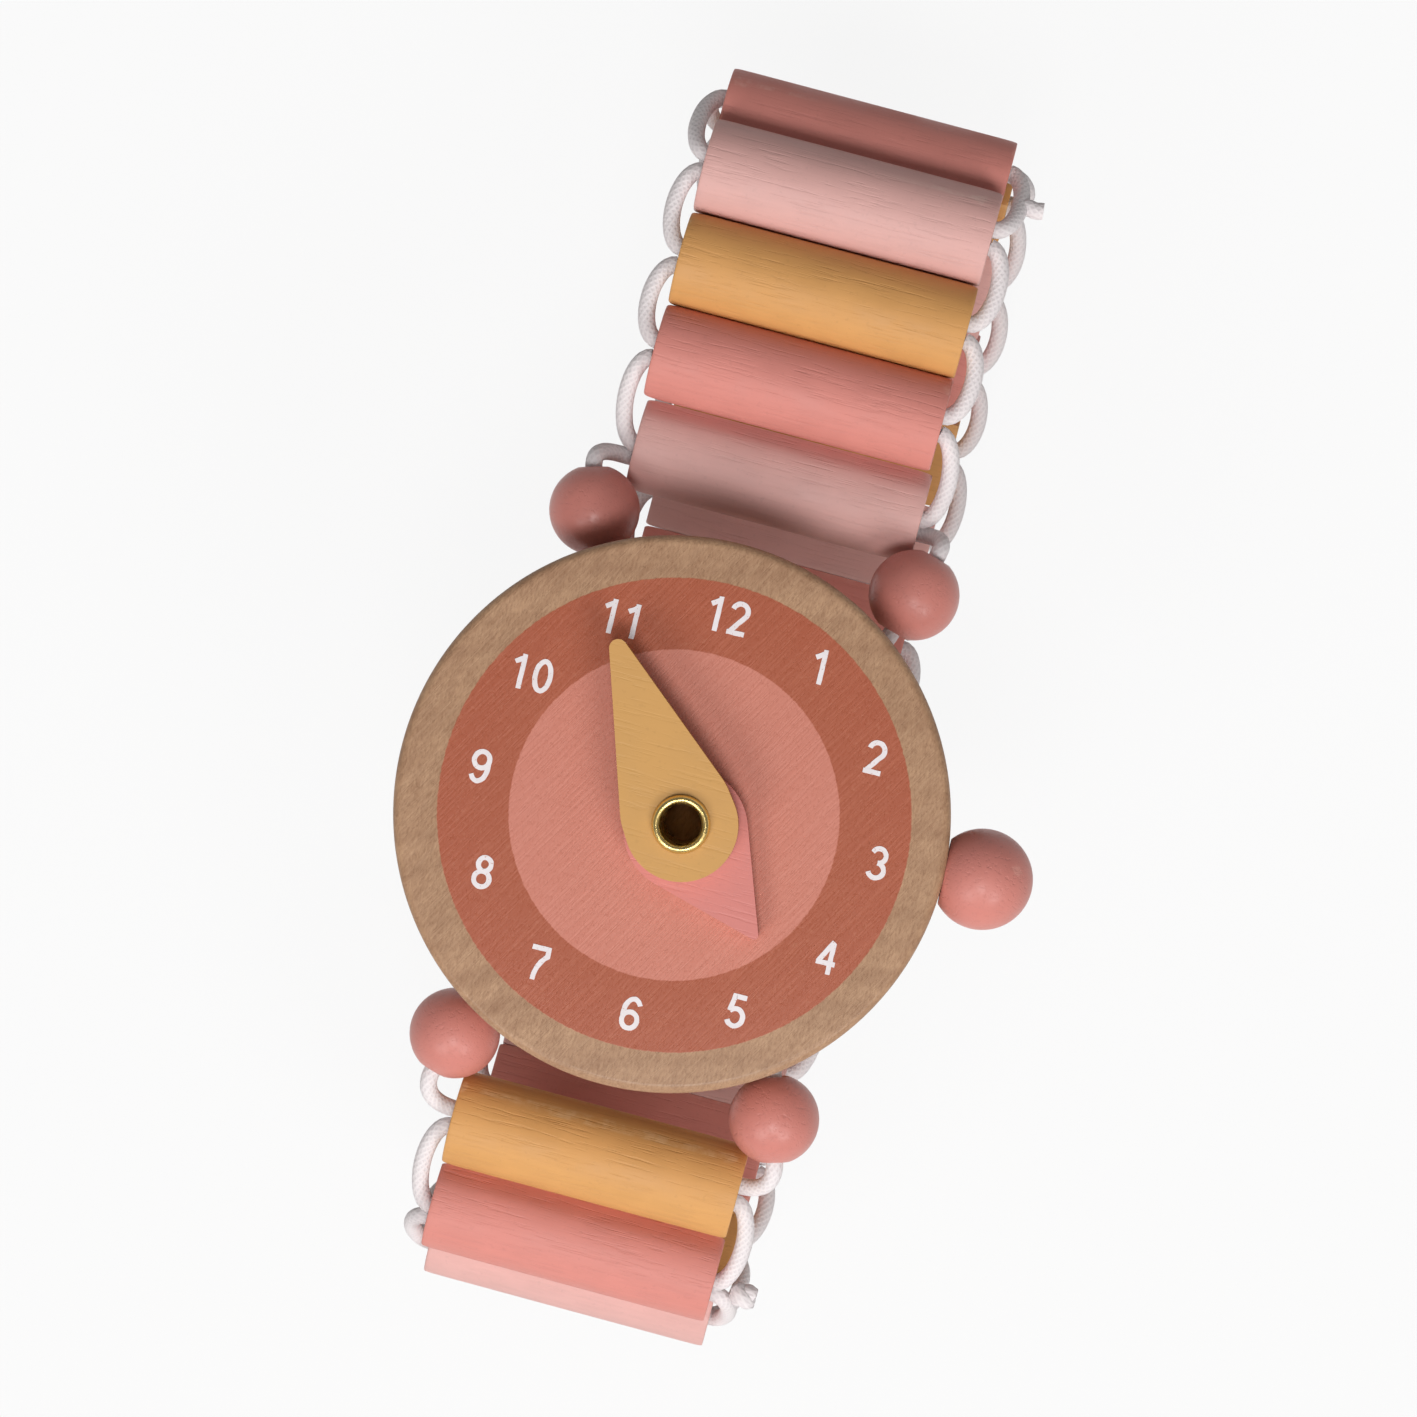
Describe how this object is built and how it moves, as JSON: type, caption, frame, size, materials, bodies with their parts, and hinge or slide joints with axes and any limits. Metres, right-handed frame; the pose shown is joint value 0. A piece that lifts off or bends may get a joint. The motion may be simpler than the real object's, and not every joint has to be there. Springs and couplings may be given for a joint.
{
  "type": "toy watch",
  "caption": "Wooden pretend-play wristwatch: round numbered dial with two turning hands, ball crown and corner beads, on a stretch strap of half-round slats laced with round elastic.",
  "frame": {"origin": "centre of the base block's flat underside, on the dial's axis", "axes": "+X along the slats to 3 o'clock, +Y along the strap to 12 o'clock, +Z out of the dial"},
  "size_m": [0.047, 0.0938, 0.0403],
  "materials": {
    "bare_wood": "clear matt lacquer",
    "bead_wood": "satin paint",
    "pale_pink_wood": "matt paint",
    "salmon_wood": "matt paint",
    "yellow_wood": "matt paint",
    "pink_hand": "matt paint",
    "yellow_hand": "matt paint",
    "brass": "polished",
    "elastic": "braided elastic"
  },
  "bodies": {
    "head": {"dial_disc": "bare_wood", "base_block": "bare_wood", "eyelet": "brass", "crown_ball": "bead_wood", "crown_peg": "bare_wood", "lacing_head": "elastic"},
    "hour_hand": {"hour_hand": "pink_hand"},
    "minute_hand": {"minute_hand": "yellow_hand"},
    "bead_upper_left": {"bead_upper_left": "bead_wood"},
    "bead_upper_right": {"bead_upper_right": "bead_wood"},
    "bead_lower_left": {"bead_lower_left": "bead_wood"},
    "bead_lower_right": {"bead_lower_right": "bead_wood"},
    "slat_01": {"slat_01": "pale_pink_wood", "lacing_01": "elastic"},
    "slat_02": {"slat_02": "salmon_wood", "lacing_02": "elastic"},
    "slat_03": {"slat_03": "yellow_wood", "lacing_03": "elastic"},
    "slat_04": {"slat_04": "pale_pink_wood", "lacing_04": "elastic", "cord_tail": "elastic"},
    "slat_05": {"slat_05": "salmon_wood", "lacing_05": "elastic"},
    "slat_06": {"slat_06": "yellow_wood", "lacing_06": "elastic"},
    "slat_07": {"slat_07": "pale_pink_wood", "lacing_07": "elastic"},
    "slat_08": {"slat_08": "salmon_wood", "lacing_08": "elastic"},
    "slat_09": {"slat_09": "yellow_wood", "lacing_09": "elastic"},
    "slat_10": {"slat_10": "pale_pink_wood", "lacing_10": "elastic"},
    "slat_11": {"slat_11": "salmon_wood", "lacing_11": "elastic"},
    "slat_12": {"slat_12": "yellow_wood", "lacing_12": "elastic"},
    "slat_13": {"slat_13": "pale_pink_wood", "lacing_13": "elastic"},
    "slat_14": {"slat_14": "salmon_wood", "lacing_14": "elastic"},
    "slat_15": {"slat_15": "yellow_wood", "lacing_15": "elastic"},
    "slat_16": {"slat_16": "pale_pink_wood", "lacing_16": "elastic"},
    "slat_17": {"slat_17": "salmon_wood", "lacing_17": "elastic"},
    "slat_18": {"slat_18": "yellow_wood", "lacing_18": "elastic"},
    "slat_19": {"slat_19": "pale_pink_wood", "lacing_19": "elastic"},
    "slat_20": {"slat_20": "salmon_wood", "lacing_20": "elastic", "cord_knot": "elastic"},
    "slat_21": {"slat_21": "yellow_wood", "lacing_21": "elastic"}
  },
  "joints": [
    {"name": "hour_hand_turn", "type": "hinge", "parent": "head", "child": "hour_hand", "pos_m": [0.00095, -0.0004, 0.0134], "axis": [0, 0, -1], "continuous": true},
    {"name": "minute_hand_turn", "type": "hinge", "parent": "head", "child": "minute_hand", "pos_m": [0.00095, -0.0004, 0.0151], "axis": [0, 0, -1], "continuous": true},
    {"name": "bead_upper_left_spin", "type": "hinge", "parent": "slat_01", "child": "bead_upper_left", "pos_m": [-0.0115, 0.02, 0.0048], "axis": [-0.2756, 0.9613, 0], "continuous": true},
    {"name": "bead_upper_right_spin", "type": "hinge", "parent": "slat_01", "child": "bead_upper_right", "pos_m": [0.0129, 0.02, 0.0048], "axis": [0.2756, 0.9613, 0], "continuous": true},
    {"name": "bead_lower_left_spin", "type": "hinge", "parent": "slat_21", "child": "bead_lower_left", "pos_m": [-0.0115, -0.02, 0.0048], "axis": [-0.2756, -0.9613, 0], "continuous": true},
    {"name": "bead_lower_right_spin", "type": "hinge", "parent": "slat_21", "child": "bead_lower_right", "pos_m": [0.0129, -0.02, 0.0048], "axis": [0.2756, -0.9613, 0], "continuous": true},
    {"name": "fold_head_01", "type": "hinge", "parent": "head", "child": "slat_01", "pos_m": [0, 0.0145, 0.003], "axis": [-1, 0, 0], "range_deg": [0, 6.43]},
    {"name": "fold_01_02", "type": "hinge", "parent": "slat_01", "child": "slat_02", "pos_m": [0, 0.0291, 0.0026], "axis": [-1, 0, 0], "range_deg": [-4.51, 0], "deforming": ["lacing_01"]},
    {"name": "fold_02_03", "type": "hinge", "parent": "slat_02", "child": "slat_03", "pos_m": [0, 0.03615, 0.0026], "axis": [-1, 0, 0], "range_deg": [0, 6.36], "deforming": ["lacing_02"]},
    {"name": "fold_03_04", "type": "hinge", "parent": "slat_03", "child": "slat_04", "pos_m": [0, 0.0432, 0.0026], "axis": [-1, 0, 0], "range_deg": [0, 7.58], "deforming": ["lacing_03"]},
    {"name": "fold_04_05", "type": "hinge", "parent": "slat_04", "child": "slat_05", "pos_m": [0, 0.05023, 0.00211], "axis": [1, 0, 0], "range_deg": [0, 20], "deforming": ["lacing_04"]},
    {"name": "fold_05_06", "type": "hinge", "parent": "slat_05", "child": "slat_06", "pos_m": [0, 0.05023, -0.00494], "axis": [-1, 0, 0], "range_deg": [0, 1.92], "deforming": ["lacing_05"]},
    {"name": "fold_06_07", "type": "hinge", "parent": "slat_06", "child": "slat_07", "pos_m": [0, 0.04692, -0.01117], "axis": [-1, 0, 0], "range_deg": [-9.27, 0], "deforming": ["lacing_06"]},
    {"name": "fold_07_08", "type": "hinge", "parent": "slat_07", "child": "slat_08", "pos_m": [0, 0.0404, -0.01385], "axis": [-1, 0, 0], "range_deg": [0, 4.58], "deforming": ["lacing_07"]},
    {"name": "fold_08_09", "type": "hinge", "parent": "slat_08", "child": "slat_09", "pos_m": [0, 0.03388, -0.01652], "axis": [-1, 0, 0], "range_deg": [0, 4.92], "deforming": ["lacing_08"]},
    {"name": "fold_09_10", "type": "hinge", "parent": "slat_09", "child": "slat_10", "pos_m": [0, 0.02736, -0.0192], "axis": [-1, 0, 0], "range_deg": [-4.14, 0], "deforming": ["lacing_09"]},
    {"name": "fold_10_11", "type": "hinge", "parent": "slat_10", "child": "slat_11", "pos_m": [0, 0.02031, -0.0192], "axis": [-1, 0, 0], "range_deg": [0, 4.18], "deforming": ["lacing_10"]},
    {"name": "fold_11_12", "type": "hinge", "parent": "slat_11", "child": "slat_12", "pos_m": [0, 0.01326, -0.0192], "axis": [-1, 0, 0], "range_deg": [0, 5.18], "deforming": ["lacing_11", "lacing_12"]},
    {"name": "fold_head_21", "type": "hinge", "parent": "head", "child": "slat_21", "pos_m": [0, -0.0145, 0.003], "axis": [1, 0, 0], "range_deg": [0, 9.48]},
    {"name": "fold_21_20", "type": "hinge", "parent": "slat_21", "child": "slat_20", "pos_m": [0, -0.02975, 0.0009], "axis": [1, 0, 0], "range_deg": [-1.74, 0], "deforming": ["lacing_21"]},
    {"name": "fold_20_19", "type": "hinge", "parent": "slat_20", "child": "slat_19", "pos_m": [0, -0.03474, -0.00409], "axis": [1, 0, 0], "range_deg": [-1.71, 0], "deforming": ["lacing_20"]},
    {"name": "fold_19_18", "type": "hinge", "parent": "slat_19", "child": "slat_18", "pos_m": [0, -0.03449, -0.01113], "axis": [1, 0, 0], "range_deg": [-10.16, 0], "deforming": ["lacing_19"]},
    {"name": "fold_18_17", "type": "hinge", "parent": "slat_18", "child": "slat_17", "pos_m": [0, -0.02797, -0.01382], "axis": [1, 0, 0], "range_deg": [0, 2.95], "deforming": ["lacing_18"]},
    {"name": "fold_17_16", "type": "hinge", "parent": "slat_17", "child": "slat_16", "pos_m": [0, -0.02146, -0.01651], "axis": [1, 0, 0], "range_deg": [0, 1.61], "deforming": ["lacing_17"]},
    {"name": "fold_16_15", "type": "hinge", "parent": "slat_16", "child": "slat_15", "pos_m": [0, -0.01494, -0.0192], "axis": [1, 0, 0], "range_deg": [-13.72, 0], "deforming": ["lacing_16"]},
    {"name": "fold_15_14", "type": "hinge", "parent": "slat_15", "child": "slat_14", "pos_m": [0, -0.00789, -0.0192], "axis": [1, 0, 0], "range_deg": [0, 1.61], "deforming": ["lacing_15"]},
    {"name": "fold_14_13", "type": "hinge", "parent": "slat_14", "child": "slat_13", "pos_m": [0, -0.00084, -0.0192], "axis": [1, 0, 0], "range_deg": [0, 2.55], "deforming": ["lacing_14"]}
  ],
  "couplings": [
    {"joint": "fold_head_01", "follows": "fold_04_05", "ratio": 0.321},
    {"joint": "fold_01_02", "follows": "fold_04_05", "ratio": -0.2246},
    {"joint": "fold_02_03", "follows": "fold_04_05", "ratio": 0.3175},
    {"joint": "fold_03_04", "follows": "fold_04_05", "ratio": 0.3782},
    {"joint": "fold_05_06", "follows": "fold_04_05", "ratio": 0.0953},
    {"joint": "fold_06_07", "follows": "fold_04_05", "ratio": -0.463},
    {"joint": "fold_07_08", "follows": "fold_04_05", "ratio": 0.2281},
    {"joint": "fold_08_09", "follows": "fold_04_05", "ratio": 0.245},
    {"joint": "fold_09_10", "follows": "fold_04_05", "ratio": -0.2064},
    {"joint": "fold_10_11", "follows": "fold_04_05", "ratio": 0.2084},
    {"joint": "fold_11_12", "follows": "fold_04_05", "ratio": 0.2584},
    {"joint": "fold_head_21", "follows": "fold_04_05", "ratio": 0.4732},
    {"joint": "fold_21_20", "follows": "fold_04_05", "ratio": -0.0864},
    {"joint": "fold_20_19", "follows": "fold_04_05", "ratio": -0.0849},
    {"joint": "fold_19_18", "follows": "fold_04_05", "ratio": -0.5074},
    {"joint": "fold_18_17", "follows": "fold_04_05", "ratio": 0.1466},
    {"joint": "fold_17_16", "follows": "fold_04_05", "ratio": 0.08},
    {"joint": "fold_16_15", "follows": "fold_04_05", "ratio": -0.6855},
    {"joint": "fold_15_14", "follows": "fold_04_05", "ratio": 0.08},
    {"joint": "fold_14_13", "follows": "fold_04_05", "ratio": 0.1267}
  ]
}
